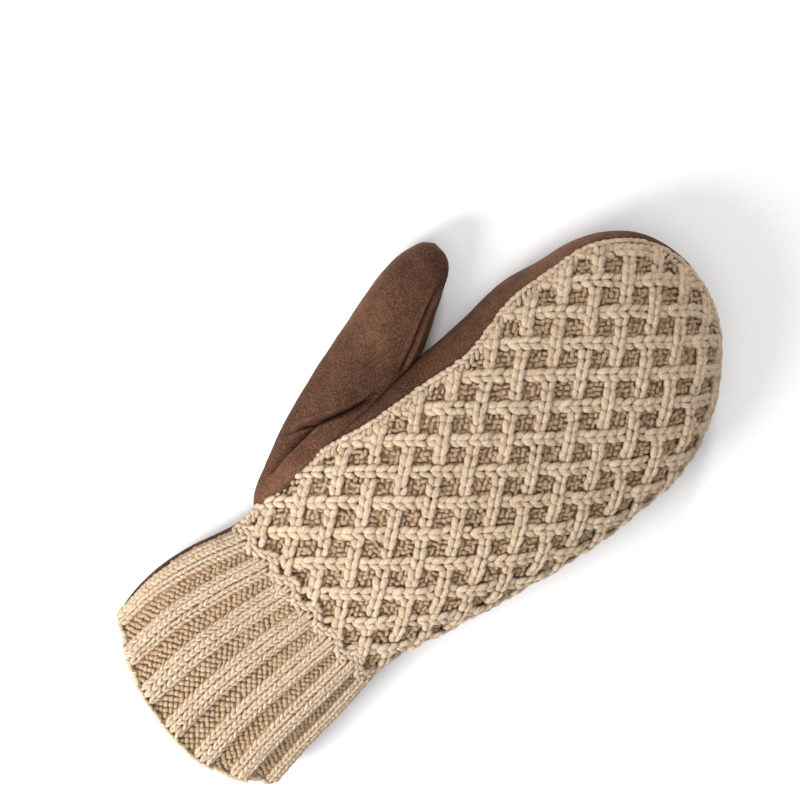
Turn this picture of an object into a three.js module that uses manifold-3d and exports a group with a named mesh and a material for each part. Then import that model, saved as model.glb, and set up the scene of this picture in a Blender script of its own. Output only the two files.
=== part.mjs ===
// A mitten for the right hand, lying on its palm: a knitted back and ribbed cuff sewn to a leather palm,
// thumb and side strips. Millimetres. +Z is up out of the back of the hand, +Y runs from cuff to fingertips,
// and the thumb is on the -X side. While it is shaped, y = 0 is the line where the ribs end and x = 0 is the
// middle of the hand. The finished mitten is set with the middle of its footprint at the origin.
import * as THREE from "three";
import { mergeVertices } from "three/addons/utils/BufferGeometryUtils.js";
import Module from "manifold-3d";

const wasm = await Module();
wasm.setup();

// Driving sizes
const HAND_LENGTH = 204; // from the end of the ribs to the fingertips
const HAND_WIDTH = 106; // across the four fingers
const HAND_HEIGHT = 43; // through the hand at its thickest
const CUFF_LENGTH = 71; // ribs, down the middle of the cuff
const HEM_BOW = 19; // the hem's middle hangs this far past its corners
const WRIST_LIFT = 4; // the gathers hold the wrist this far off the ground
const THUMB_LENGTH = 120; // from its root inside the hand to its tip
const THUMB_WIDTH = 30;
const THUMB_HEIGHT = 26;
const THUMB_SPLAY = 22.2; // degrees between thumb and hand
const THUMB_ROOT_IN = 16.5; // from the hand's thumb side in to the middle of the thumb's root
const THUMB_ROOT_UP = 21; // from the end of the ribs up to the thumb's root
const LEATHER = 1.8; // wall of the leather panels
const KNIT = 4.2; // wall of the knitted panels
const SEAM_GAP = 0.3; // between panels that are sewn together
const PALM_INSET = 10; // from the hand's outline in to the palm panel's seam
const RIBS = 7;
const FURROW_DEPTH = 2;
const FURROW_SHARE = 0.42; // of the pitch from rib to rib
const GATHERS = 9;
const GATHER_DEPTH = 2.4;
const GATHER_REACH = 17; // the folds fade out this far each side of the elastic
const ELASTIC_UP = 6; // from the end of the ribs up to the elastic in the palm side
const LATTICE_ACROSS = 8.15; // half the width of one diamond of the raised lattice
const LATTICE_ALONG = 9.65; // half its length
const LATTICE_START = { across: -10.2, along: 104.2 }; // one crossing of the lattice
const CELL_SHARE = 0.56; // of the lattice's pitch that each hollow cell takes
const CELL_FLOOR = 0.7; // the cell's floor beside its mouth
const CELL_DEPTH = 2;
const CELL_EDGE_KEEP = 5; // no cell lies nearer than this to the seam or the ribs

// Shape of a cut across the hand and across the thumb: the flat share of the underside, the height of the
// widest point as a share of the whole height, and the exponent of the crown.
const HAND_CUT = { flat: 0.78, widest: 0.4, crown: 2.3 };
const THUMB_CUT = { flat: 0.45, widest: 0.46, crown: 2.1 };

// Cuts across cuff and hand. at is a share of the cuff's side where it is below 0 and of the hand's straight
// length above; thumbSide and pinkySide are shares of half the hand's width; top is a share of its height,
// lift of the wrist's lift, and the seams of the cut's own height.
const SECTIONS = [
  { name: "hem", at: -1, thumbSide: 0.96, pinkySide: 0.82, top: 0.8, lift: 0, thumbSeam: 0.62, pinkySeam: 0.42 },
  { name: "cuff", at: -0.66, thumbSide: 1.01, pinkySide: 0.76, top: 0.77, lift: 0, thumbSeam: 0.62, pinkySeam: 0.4 },
  { name: "cuff top", at: -0.3, thumbSide: 0.98, pinkySide: 0.72, top: 0.73, lift: 0.35, thumbSeam: 0.62, pinkySeam: 0.38 },
  { name: "ribs end", at: 0, thumbSide: 0.9, pinkySide: 0.67, top: 0.71, lift: 0.9, thumbSeam: 0.62, pinkySeam: 0.36 },
  { name: "wrist", at: 0.05, thumbSide: 0.89, pinkySide: 0.65, top: 0.72, lift: 1, thumbSeam: 0.62, pinkySeam: 0.36 },
  { name: "heel", at: 0.15, thumbSide: 0.94, pinkySide: 0.68, top: 0.8, lift: 0.35, thumbSeam: 0.63, pinkySeam: 0.34 },
  { name: "thumb root", at: 0.3, thumbSide: 0.98, pinkySide: 0.77, top: 0.9, lift: 0, thumbSeam: 0.64, pinkySeam: 0.34 },
  { name: "palm", at: 0.48, thumbSide: 1, pinkySide: 0.86, top: 0.97, lift: 0, thumbSeam: 0.65, pinkySeam: 0.34 },
  { name: "crotch", at: 0.66, thumbSide: 0.98, pinkySide: 0.94, top: 1, lift: 0, thumbSeam: 0.68, pinkySeam: 0.34 },
  { name: "fingers", at: 0.83, thumbSide: 0.98, pinkySide: 0.99, top: 0.98, lift: 0, thumbSeam: 0.69, pinkySeam: 0.34 },
  { name: "tip centre", at: 1, thumbSide: 1, pinkySide: 1, top: 0.94, lift: 0, thumbSeam: 0.66, pinkySeam: 0.34 },
];

// The rounded tip: turn is in degrees from the pinky side, reach a share of half the hand's width, measured
// from the tip's centre, and seam a share of the hand's height there.
const TIP = [
  { turn: 0, reach: 1, seam: 0.34 },
  { turn: 27, reach: 1.015, seam: 0.36 },
  { turn: 45, reach: 1.05, seam: 0.39 },
  { turn: 62, reach: 1.105, seam: 0.43 },
  { turn: 77, reach: 1.185, seam: 0.48 },
  { turn: 98, reach: 1.275, seam: 0.54 },
  { turn: 110, reach: 1.295, seam: 0.56 },
  { turn: 120, reach: 1.28, seam: 0.58 },
  { turn: 131, reach: 1.225, seam: 0.6 },
  { turn: 139, reach: 1.17, seam: 0.61 },
  { turn: 156, reach: 1.04, seam: 0.64 },
  { turn: 180, reach: 1, seam: 0.66 },
];
const STRIP_JOIN = 95; // degrees round the tip where the two side strips meet

// Cuts across the thumb, from its root to its tip. at is a share of the thumb's length, width of its width,
// and lift and top of its height.
const THUMB_SECTIONS = [
  { name: "root", at: -0.14, width: 0.55, lift: 0.4, top: 0.75 },
  { name: "heel", at: 0, width: 1.1, lift: 0.26, top: 0.86 },
  { name: "web", at: 0.13, width: 1.24, lift: 0.12, top: 0.94 },
  { name: "lower web", at: 0.26, width: 1.28, lift: 0.04, top: 0.98 },
  { name: "base joint", at: 0.4, width: 1.25, lift: 0.01, top: 1 },
  { name: "crotch", at: 0.55, width: 1.14, lift: 0, top: 1 },
  { name: "joint", at: 0.7, width: 1, lift: 0, top: 0.98 },
  { name: "end joint", at: 0.82, width: 0.87, lift: 0.01, top: 0.91 },
  { name: "nail", at: 0.9, width: 0.71, lift: 0.05, top: 0.82 },
  { name: "tip", at: 0.95, width: 0.53, lift: 0.12, top: 0.74 },
  { name: "tip end", at: 0.985, width: 0.3, lift: 0.24, top: 0.63 },
  { name: "tip point", at: 1, width: 0, lift: 0.42, top: 0.42 },
];

// How finely the skins are cut up
const CUFF_ROWS = [-1, -0.74, -0.48, -0.22];
const HAND_ROWS = [0.05, 0.1, 0.17, 0.26, 0.36, 0.46, 0.56, 0.66, 0.76, 0.88, 1];
const TIP_TURNS = [165, 150, 137, 125, 115, 105, 85, 75, 62, 48, 33, 17];
const PALM_COLUMNS = 3;
const GATHER_COLUMN = 2.3; // spacing of the palm's columns where it is gathered
const STRIP_COLUMNS = 4;
const KNIT_COLUMNS = 8;
const ARC_STEPS = 24;

const halfWidth = HAND_WIDTH / 2;
const cuffSide = CUFF_LENGTH - HEM_BOW;
const tipReach = Math.max(...TIP.map((row) => row.reach * Math.sin(THREE.MathUtils.degToRad(row.turn))));
const tipCentre = HAND_LENGTH - tipReach * halfWidth;
const QUARTER = Math.PI / 2;

// Value of one column of a table at a place between its rows, on a curve through the rows
function tableValue(rows, key, column, place) {
  const last = rows.length - 2;
  const found = rows.findIndex((row, i) => i <= last && place <= rows[i + 1][key]);
  const i = found < 0 ? last : found;
  const low = rows[i];
  const high = rows[i + 1];
  const span = high[key] - low[key];
  const before = rows[Math.max(i - 1, 0)];
  const after = rows[Math.min(i + 2, rows.length - 1)];
  const slopeIn = ((high[column] - before[column]) / (high[key] - before[key])) * span;
  const slopeOut = ((after[column] - low[column]) / (after[key] - low[key])) * span;
  const t = THREE.MathUtils.clamp((place - low[key]) / span, 0, 1);
  const rise = high[column] - low[column];
  return low[column] + t * (slopeIn + t * (3 * rise - 2 * slopeIn - slopeOut + t * (slopeIn + slopeOut - 2 * rise)));
}

const sections = SECTIONS.map((row) => ({ ...row, y: row.at * (row.at < 0 ? cuffSide : tipCentre) }));
const sectionAt = (column, y) => tableValue(sections, "y", column, y);

// A spoke is half of one cut: it runs from the middle of the hand or thumb out to one edge.
function sideSpoke(side, y) {
  const down = THREE.MathUtils.clamp(-y / cuffSide, 0, 1);
  return {
    centre: new THREE.Vector2(0, y),
    way: new THREE.Vector2(side, 0),
    length: halfWidth * sectionAt(side < 0 ? "thumbSide" : "pinkySide", y),
    bow: HEM_BOW * down ** 1.5,
    lift: WRIST_LIFT * Math.max(sectionAt("lift", y), 0),
    top: HAND_HEIGHT * sectionAt("top", y),
    seam: sectionAt(side < 0 ? "thumbSeam" : "pinkySeam", y),
    cut: HAND_CUT,
    gathers: Math.abs(y - ELASTIC_UP) < GATHER_REACH,
    side,
    y,
  };
}

function tipSpoke(turn) {
  const angle = THREE.MathUtils.degToRad(turn);
  return {
    centre: new THREE.Vector2(0, tipCentre),
    way: new THREE.Vector2(Math.cos(angle), Math.sin(angle)),
    length: halfWidth * tableValue(TIP, "turn", "reach", turn),
    bow: 0,
    lift: 0,
    top: HAND_HEIGHT * sections.at(-1).top,
    seam: tableValue(TIP, "turn", "seam", turn),
    cut: HAND_CUT,
    side: turn > 90 ? -1 : 1,
    y: tipCentre,
  };
}

function thumbSpoke(side, row) {
  const angle = THREE.MathUtils.degToRad(THUMB_SPLAY);
  const along = row.at * THUMB_LENGTH;
  const rootX = THUMB_ROOT_IN - halfWidth;
  return {
    centre: new THREE.Vector2(rootX - along * Math.sin(angle), THUMB_ROOT_UP + along * Math.cos(angle)),
    way: new THREE.Vector2(Math.cos(angle), Math.sin(angle)).multiplyScalar(side),
    length: (THUMB_WIDTH / 2) * row.width,
    bow: 0,
    lift: THUMB_HEIGHT * row.lift,
    top: THUMB_HEIGHT * row.top,
    cut: THUMB_CUT,
  };
}

// Height that the gathers' folds lift the flat underside
function gatherLift(spoke, q) {
  const fade = 1 - Math.abs(spoke.y - ELASTIC_UP) / GATHER_REACH;
  const left = sectionAt("thumbSide", spoke.y);
  const right = sectionAt("pinkySide", spoke.y);
  const across = (left + spoke.side * q * (spoke.side < 0 ? left : right)) / (left + right);
  const wave = 0.5 - 0.5 * Math.cos(2 * Math.PI * GATHERS * across);
  return GATHER_DEPTH * wave * THREE.MathUtils.smoothstep(fade, 0, 1);
}

// A point of the skin on one spoke. q runs along the flat underside from 0 to 1, round the lower edge from
// 1 to 2 and over the crown from 2 to 3; inset moves the point that far into the mitten.
function skinPoint(spoke, q, inset) {
  const { flat, widest, crown } = spoke.cut;
  const length = spoke.length - inset * Math.sign(spoke.length);
  const floor = spoke.lift + inset;
  const belly = spoke.lift + (spoke.top - spoke.lift) * widest;
  let out = flat * q;
  let z = floor + (q < 1 && spoke.gathers ? gatherLift(spoke, q) : 0);
  if (q > 2) {
    const b = (q - 2) * QUARTER;
    out = Math.max(Math.cos(b), 0) ** (2 / crown);
    z = belly + (spoke.top - inset - belly) * Math.sin(b) ** (2 / crown);
  } else if (q > 1) {
    const a = (q - 1) * QUARTER;
    out = flat + (1 - flat) * Math.sin(a);
    z = belly - (belly - floor) * Math.cos(a);
  }
  if (q >= 3) out = 0;
  const reach = length * out;
  const x = spoke.centre.x + spoke.way.x * reach;
  const y = spoke.centre.y + spoke.way.y * reach - spoke.bow * (1 - out * out);
  return new THREE.Vector3(x, y, z);
}

// Where along a spoke the seam of the knit lies, from its share of the cut's height
function knitSeam(spoke) {
  const { widest, crown } = spoke.cut;
  if (spoke.seam > widest) {
    const share = (spoke.seam - widest) / (1 - widest);
    return 2 + Math.asin(share ** (crown / 2)) / QUARTER;
  }
  return 1 + Math.acos(1 - spoke.seam / widest) / QUARTER;
}

// Where along a spoke the palm panel's seam lies
function palmSeam(spoke) {
  const out = 1 - PALM_INSET / spoke.length;
  const { flat } = spoke.cut;
  return out < flat ? out / flat : 1 + Math.asin((out - flat) / (1 - flat)) / QUARTER;
}

// q moved along the skin by a distance in millimetres
function along(spoke, q, distance) {
  const step = 0.01;
  const speed = skinPoint(spoke, q + step, 0).distanceTo(skinPoint(spoke, q - step, 0)) / (2 * step);
  return q + distance / speed;
}

// The side strips end at the wrist, and below them the palm's leather runs on up to the knit
const stripFootY = tipCentre * HAND_ROWS[0];
const stripSeam = (spoke) => (spoke.y < stripFootY - 1.5 * SEAM_GAP ? knitSeam(spoke) : palmSeam(spoke));

// Evenly spaced numbers from one value to another
const spaced = (from, to, count) => Array.from({ length: count + 1 }, (_, i) => from + ((to - from) * i) / count);

// Closed solids from bands of triangles
const newSkin = () => [];

function addFace(skin, ...corners) {
  corners.forEach((corner) => skin.push(corner.x, corner.y, corner.z));
}

// A band between two lines of points, which may hold different numbers of points
function addBand(skin, low, high) {
  let i = 0;
  let j = 0;
  while (i < low.length - 1 || j < high.length - 1) {
    const nextLow = (i + 1) / (low.length - 1);
    const nextHigh = (j + 1) / (high.length - 1);
    if (j === high.length - 1 || (i < low.length - 1 && nextLow <= nextHigh)) {
      addFace(skin, low[i], low[i + 1], high[j]);
      i += 1;
    } else {
      addFace(skin, low[i], high[j + 1], high[j]);
      j += 1;
    }
  }
}

function solidOf(geometry) {
  const bare = geometry.clone();
  bare.deleteAttribute("normal");
  bare.deleteAttribute("uv");
  const welded = mergeVertices(bare, 1e-4);
  const corners = welded.index.array;
  const triVerts = [];
  for (let i = 0; i < corners.length; i += 3) {
    const [a, b, c] = corners.slice(i, i + 3);
    if (a !== b && b !== c && c !== a) triVerts.push(a, b, c);
  }
  const vertProperties = welded.attributes.position.array;
  return new wasm.Manifold(new wasm.Mesh({ numProp: 3, vertProperties, triVerts: new Uint32Array(triVerts) }));
}

function skinSolid(skin) {
  const geometry = new THREE.BufferGeometry();
  geometry.setAttribute("position", new THREE.Float32BufferAttribute(skin, 3));
  return solidOf(geometry);
}

// Rows are made of stretches, so that a band joins flat part to flat part and bend to bend
function addRowBand(skin, low, high) {
  low.forEach((stretch, i) => addBand(skin, stretch, high[i]));
}

// A sheet between an outer and an inner skin, both given as rows of points. openEdge names the end of the
// rows that meets the same rows on the other side of the hand, and so has no edge face.
function sheetSolid(outer, inner, openEdge) {
  const skin = newSkin();
  for (let i = 0; i < outer.length - 1; i += 1) {
    addRowBand(skin, outer[i], outer[i + 1]);
    addRowBand(skin, inner[i + 1], inner[i]);
  }
  const first = (rows) => rows.map((row) => row[0][0]);
  const last = (rows) => rows.map((row) => row.at(-1).at(-1));
  if (openEdge !== "first") addBand(skin, first(outer), first(inner));
  if (openEdge !== "last") addBand(skin, last(inner), last(outer));
  addRowBand(skin, inner[0], outer[0]);
  addRowBand(skin, outer.at(-1), inner.at(-1));
  return skinSolid(skin);
}

// The whole space inside one skin, from spokes up one side and down the other
function filledSolid(spokes, columnsOf, inset) {
  const rows = panelRows(spokes, columnsOf, inset);
  const skin = newSkin();
  for (let i = 0; i < rows.length - 1; i += 1) addRowBand(skin, rows[i], rows[i + 1]);
  const start = rows[0].flat();
  for (let i = 1; i < start.length - 1; i += 1) addFace(skin, start[0], start[i + 1], start[i]);
  const end = rows.at(-1).flat();
  for (let i = 1; i < end.length - 1; i += 1) addFace(skin, end[0], end[i], end[i + 1]);
  return skinSolid(skin);
}

// Spokes from one height up the thumb side, round the tip and down the pinky side
function spokesRound(ys) {
  const up = ys.map((y) => sideSpoke(-1, y));
  const down = ys.map((y) => sideSpoke(1, y)).reverse();
  return [...up, ...TIP_TURNS.map(tipSpoke), ...down];
}

const cuffYs = CUFF_ROWS.map((at) => at * cuffSide);
const handYs = HAND_ROWS.map((at) => at * tipCentre);

// Columns of each panel on one spoke, in stretches
const knitStretches = (spoke, gap) => [spaced(along(spoke, knitSeam(spoke), gap), 3, KNIT_COLUMNS)];
const stripStretches = (spoke, gap) => [
  spaced(along(spoke, stripSeam(spoke), gap), along(spoke, knitSeam(spoke), -gap), STRIP_COLUMNS),
];

function palmStretches(spoke, gap) {
  const edge = along(spoke, stripSeam(spoke), -gap);
  const count = spoke.gathers ? Math.ceil((spoke.length / GATHER_COLUMN) * HAND_CUT.flat) : PALM_COLUMNS;
  const bend = Math.min(edge, 1);
  return [spaced(0, bend, count), spaced(bend, edge, edge > 1.5 ? STRIP_COLUMNS : 1)];
}

function panelRows(spokes, stretchesOf, inset) {
  const onSpoke = (spoke) => (qs) => qs.map((q) => skinPoint(spoke, q, inset));
  return spokes.map((spoke) => stretchesOf(spoke, SEAM_GAP / 2).map(onSpoke(spoke)));
}

function makePalm() {
  const spokes = spokesRound([...cuffYs, 0, stripFootY - 2 * SEAM_GAP, stripFootY - SEAM_GAP, ...handYs]);
  return sheetSolid(panelRows(spokes, palmStretches, 0), panelRows(spokes, palmStretches, LEATHER), "first");
}

// The strips run from the wrist to where they meet at the tip
const joinGap = THREE.MathUtils.radToDeg(SEAM_GAP / 2 / halfWidth);
function makeStrip(side) {
  const sides = handYs.map((y) => sideSpoke(side, y));
  const turns = TIP_TURNS.filter((turn) => (side < 0 ? turn > STRIP_JOIN : turn < STRIP_JOIN)).map(tipSpoke);
  const join = tipSpoke(STRIP_JOIN - side * joinGap);
  const spokes = side < 0 ? [...sides, ...turns, join] : [join, ...turns, ...sides.reverse()];
  return sheetSolid(panelRows(spokes, stripStretches, 0), panelRows(spokes, stripStretches, LEATHER));
}

// Places on the knitted back, as if the knit lay flat: across is measured over the skin from the middle of
// the hand, and beyond the tip's centre the skin is laid out round that centre.
function backPlace(across, alongHand) {
  const beyond = alongHand - tipCentre;
  const spoke =
    beyond > 0
      ? tipSpoke(THREE.MathUtils.radToDeg(Math.atan2(beyond, across)))
      : sideSpoke(across < 0 ? -1 : 1, alongHand);
  const distance = beyond > 0 ? Math.hypot(across, beyond) : Math.abs(across);
  const qs = spaced(3, knitSeam(spoke), ARC_STEPS);
  let walked = 0;
  let low = skinPoint(spoke, 3, 0);
  let point = null;
  for (const q of qs.slice(1)) {
    const high = skinPoint(spoke, q, 0);
    const step = low.distanceTo(high);
    if (point === null && walked + step >= distance) point = low.clone().lerp(high, (distance - walked) / step);
    walked += step;
    low = high;
  }
  return { point, toSeam: walked - distance };
}

// One hollow cell of the lattice: a four-sided cut that narrows to its floor, or null off the knit
function cellSolid(across, alongHand, one, two) {
  const here = backPlace(across, alongHand);
  const reach = CELL_SHARE / 2;
  if (here.point === null || here.toSeam < CELL_EDGE_KEEP + reach * one.x) return null;
  const tangent = (way) => {
    const ahead = backPlace(across + way.x * reach, alongHand + way.y * reach).point;
    const behind = backPlace(across - way.x * reach, alongHand - way.y * reach).point;
    return ahead && behind ? ahead.sub(behind) : null;
  };
  const a = tangent(one);
  const b = tangent(two);
  if (a === null || b === null) return null;
  const outward = a.clone().cross(b).normalize();
  const corner = Math.SQRT1_2;
  const above = CELL_DEPTH * 0.6;
  const tall = CELL_DEPTH + above;
  const cut = new THREE.CylinderGeometry(corner, corner * CELL_FLOOR, tall, 4, 1, false, Math.PI / 4);
  cut.rotateX(Math.PI / 2);
  const place = new THREE.Matrix4().makeBasis(a, b, outward);
  const middle = here.point.clone().addScaledVector(outward, above - tall / 2);
  return solidOf(cut.applyMatrix4(place.setPosition(middle)));
}

function makeKnitBack() {
  const spokes = spokesRound([SEAM_GAP / 2, ...handYs]);
  const back = sheetSolid(panelRows(spokes, knitStretches, 0), panelRows(spokes, knitStretches, KNIT), "last");
  const one = new THREE.Vector2(LATTICE_ACROSS, LATTICE_ALONG);
  const two = new THREE.Vector2(-LATTICE_ACROSS, LATTICE_ALONG);
  const most = Math.ceil(HAND_LENGTH / LATTICE_ALONG);
  const cells = [];
  for (let i = -most; i <= most; i += 1) {
    for (let j = -most; j <= most; j += 1) {
      const across = LATTICE_START.across + (i - j) * LATTICE_ACROSS;
      const alongHand = LATTICE_START.along + (i + j + 1) * LATTICE_ALONG;
      const clear = CELL_EDGE_KEEP + LATTICE_ALONG * CELL_SHARE;
      if (alongHand < clear || alongHand > HAND_LENGTH || Math.abs(across) > HAND_WIDTH) continue;
      const cell = cellSolid(across, alongHand, one, two);
      if (cell !== null) cells.push(cell);
    }
  }
  return back.subtract(wasm.Manifold.union(cells));
}

// A row across the ribbed cuff at one height: a place for each share of the way from seam to seam
function cuffRow(y, inset, shares) {
  const halves = [-1, 1].map((side) => {
    const spoke = sideSpoke(side, y);
    const seam = along(spoke, knitSeam(spoke), SEAM_GAP / 2);
    const lengths = [0];
    const qs = spaced(seam, 3, ARC_STEPS);
    qs.slice(1).forEach((q, i) => {
      lengths.push(lengths.at(-1) + skinPoint(spoke, q, 0).distanceTo(skinPoint(spoke, qs[i], 0)));
    });
    return { spoke, qs, lengths, total: lengths.at(-1) };
  });
  const whole = halves[0].total + halves[1].total;
  return shares.map(({ share, deep }) => {
    const fromThumb = share * whole;
    const half = fromThumb <= halves[0].total ? halves[0] : halves[1];
    const distance = half === halves[0] ? fromThumb : whole - fromThumb;
    const i = Math.min(Math.max(half.lengths.findIndex((length) => length >= distance), 1), ARC_STEPS);
    const t = (distance - half.lengths[i - 1]) / (half.lengths[i] - half.lengths[i - 1]);
    const q = THREE.MathUtils.lerp(half.qs[i - 1], half.qs[i], t);
    return skinPoint(half.spoke, q, inset + deep);
  });
}

function makeKnitCuff() {
  const pitch = 1 / RIBS;
  const shares = [{ share: 0, deep: 0 }];
  for (let rib = 0; rib < RIBS; rib += 1) {
    shares.push({ share: (rib + 0.5) * pitch, deep: 0 });
    if (rib === RIBS - 1) continue;
    const furrow = (rib + 1) * pitch;
    const slope = (FURROW_SHARE / 2) * pitch;
    const floor = slope * 0.4;
    shares.push({ share: furrow - slope, deep: 0 }, { share: furrow - floor, deep: FURROW_DEPTH });
    shares.push({ share: furrow + floor, deep: FURROW_DEPTH }, { share: furrow + slope, deep: 0 });
  }
  shares.push({ share: 1, deep: 0 });
  const smooth = shares.map(({ share }) => ({ share, deep: 0 }));
  const ys = [...cuffYs, -SEAM_GAP / 2];
  const outer = ys.map((y) => [cuffRow(y, 0, shares)]);
  const inner = ys.map((y) => [cuffRow(y, KNIT, smooth)]);
  return sheetSolid(outer, inner);
}

// The hand filled out to a distance past its skin, with the same facets as its panels
function handSolid(past) {
  const spokes = spokesRound([...cuffYs, 0, ...handYs]);
  const stretches = (spoke) => [
    ...palmStretches(spoke, 0),
    ...stripStretches(spoke, 0),
    ...knitStretches(spoke, 0),
  ];
  return filledSolid(spokes, stretches, -past);
}

function thumbSolid(inset) {
  const rows = THUMB_SECTIONS.filter((row) => inset === 0 || THUMB_WIDTH * row.width > 6 * inset);
  const spokes = [...rows.map((row) => thumbSpoke(-1, row)), ...rows.map((row) => thumbSpoke(1, row)).reverse()];
  return filledSolid(spokes, () => [spaced(0, 1, 2), spaced(1, 2, 3), spaced(2, 3, 5)], inset);
}

function meshOf(name, solid, material) {
  const made = solid.getMesh();
  const geometry = new THREE.BufferGeometry();
  geometry.setAttribute("position", new THREE.Float32BufferAttribute(made.vertProperties, made.numProp));
  geometry.setIndex(new THREE.BufferAttribute(made.triVerts, 1));
  geometry.computeVertexNormals();
  const mesh = new THREE.Mesh(geometry, material);
  mesh.name = name;
  return mesh;
}

const leather = new THREE.MeshStandardMaterial({ color: 0x6b4634, roughness: 0.75, metalness: 0 });
const wool = new THREE.MeshStandardMaterial({ color: 0xcdb592, roughness: 0.95, metalness: 0 });

const thumbHollow = thumbSolid(LEATHER);
const mitten = new THREE.Group();
mitten.add(
  meshOf("palm_panel", makePalm().subtract(thumbHollow), leather),
  meshOf("side_strip_thumb", makeStrip(-1).subtract(thumbHollow), leather),
  meshOf("side_strip_outer", makeStrip(1), leather),
  meshOf("thumb", thumbSolid(0).subtract(thumbHollow).subtract(handSolid(SEAM_GAP)), leather),
  meshOf("knit_back", makeKnitBack(), wool),
  meshOf("knit_cuff", makeKnitCuff(), wool),
);

// The middle of the footprint goes to the origin
const middle = new THREE.Box3().setFromObject(mitten).getCenter(new THREE.Vector3());
mitten.position.set(-middle.x, -middle.y, 0);

export default mitten;
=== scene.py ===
import math

import bmesh
import bpy
import numpy as np
from mathutils import Matrix, Vector


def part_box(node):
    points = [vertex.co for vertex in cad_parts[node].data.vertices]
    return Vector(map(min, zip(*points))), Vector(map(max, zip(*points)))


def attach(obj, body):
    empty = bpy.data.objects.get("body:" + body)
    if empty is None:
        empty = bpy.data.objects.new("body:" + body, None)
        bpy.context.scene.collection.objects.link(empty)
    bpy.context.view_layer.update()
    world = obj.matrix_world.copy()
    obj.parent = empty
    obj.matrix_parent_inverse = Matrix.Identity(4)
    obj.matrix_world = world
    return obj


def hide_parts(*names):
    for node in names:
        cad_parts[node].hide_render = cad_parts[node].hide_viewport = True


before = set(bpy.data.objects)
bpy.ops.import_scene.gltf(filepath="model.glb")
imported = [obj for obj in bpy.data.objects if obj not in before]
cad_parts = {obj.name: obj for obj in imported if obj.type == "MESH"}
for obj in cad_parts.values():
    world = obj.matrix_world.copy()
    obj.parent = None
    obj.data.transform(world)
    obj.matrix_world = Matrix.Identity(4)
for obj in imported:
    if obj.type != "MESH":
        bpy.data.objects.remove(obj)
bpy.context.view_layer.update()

# A leather mitten with a knitted back, lying on its palm. Shapes are worked out in millimetres, with x = 0 at
# the middle of the hand and y = 0 where the ribs end, and go into the frame in metres.
MM = 0.001

# Driving sizes, the same as the solids'
HAND_LENGTH = 204
HAND_WIDTH = 106
HAND_HEIGHT = 43
CUFF_LENGTH = 71
HEM_BOW = 19
WRIST_LIFT = 4
THUMB_LENGTH = 120
THUMB_WIDTH = 30
THUMB_HEIGHT = 26
THUMB_SPLAY = math.radians(22.2)
THUMB_ROOT = (16.5 - HAND_WIDTH / 2, 21)
LEATHER = 1.8
KNIT = 4.2
PALM_INSET = 10
RIBS = 7
GATHERS = 9
GATHER_REACH = 17
ELASTIC_UP = 6
LATTICE_ACROSS = 8.15
LATTICE_ALONG = 9.65
LATTICE_START = (-10.2, 104.2)
HAND_CUT = (0.78, 0.4, 2.3)
THUMB_CUT = (0.45, 0.46, 2.1)

# Cuts across cuff and hand: at, thumb side, pinky side, top, lift, thumb seam, pinky seam
SECTIONS = (
    ("hem", -1, 0.96, 0.82, 0.8, 0, 0.28, 0.42),
    ("cuff", -0.66, 1.01, 0.76, 0.77, 0, 0.34, 0.4),
    ("cuff top", -0.3, 0.98, 0.72, 0.73, 0.35, 0.42, 0.38),
    ("ribs end", 0, 0.9, 0.67, 0.71, 0.9, 0.46, 0.36),
    ("wrist", 0.05, 0.89, 0.65, 0.72, 1, 0.45, 0.36),
    ("heel", 0.15, 0.94, 0.68, 0.8, 0.35, 0.44, 0.34),
    ("thumb root", 0.3, 0.98, 0.77, 0.9, 0, 0.57, 0.34),
    ("palm", 0.48, 1, 0.86, 0.97, 0, 0.7, 0.34),
    ("crotch", 0.66, 0.98, 0.94, 1, 0, 0.72, 0.34),
    ("fingers", 0.83, 0.98, 0.99, 0.98, 0, 0.76, 0.34),
    ("tip centre", 1, 1, 1, 0.94, 0, 0.69, 0.34),
)
# The rounded tip: turn in degrees from the pinky side, reach, seam
TIP = (
    (0, 1, 0.34),
    (27, 1.015, 0.36),
    (45, 1.05, 0.39),
    (62, 1.105, 0.43),
    (77, 1.185, 0.48),
    (98, 1.275, 0.54),
    (110, 1.295, 0.56),
    (120, 1.28, 0.58),
    (131, 1.225, 0.6),
    (139, 1.17, 0.61),
    (156, 1.04, 0.65),
    (180, 1, 0.69),
)
STRIP_JOIN = 95
# Cuts across the thumb: at, width, lift, top
THUMB_SECTIONS = (
    ("root", -0.14, 0.55, 0.4, 0.75),
    ("heel", 0, 1.1, 0.26, 0.86),
    ("web", 0.13, 1.24, 0.12, 0.94),
    ("lower web", 0.26, 1.28, 0.04, 0.98),
    ("base joint", 0.4, 1.25, 0.01, 1),
    ("crotch", 0.55, 1.14, 0, 1),
    ("joint", 0.7, 1, 0, 0.98),
    ("end joint", 0.82, 0.87, 0.01, 0.91),
    ("nail", 0.9, 0.71, 0.05, 0.82),
    ("tip", 0.95, 0.53, 0.12, 0.74),
    ("tip end", 0.985, 0.3, 0.24, 0.63),
    ("tip point", 1, 0, 0.42, 0.42),
)

# How much further the thumb's tip reaches to the hand's side, where its seam ends in a corner
THUMB_CORNER = 0.22
# How much of the hem's bow is gone at the thumb side: the hem reaches lower there than at the pinky side
HEM_SWEEP = 0.72

HALF = HAND_WIDTH / 2
CUFF_SIDE = CUFF_LENGTH - HEM_BOW
TIP_REACH = max(reach * math.sin(math.radians(turn)) for turn, reach, seam in TIP)
TIP_CENTRE = HAND_LENGTH - TIP_REACH * HALF
STRIP_FOOT = 0.05 * TIP_CENTRE

# Where the middle of the rib line lies in the frame: the cuff ends there, and the outer strip is at its widest
# beside the tip's centre
ORIGIN = (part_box("side_strip_outer")[1][0] / MM - 52.9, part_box("knit_cuff")[1][1] / MM + 0.15)


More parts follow.
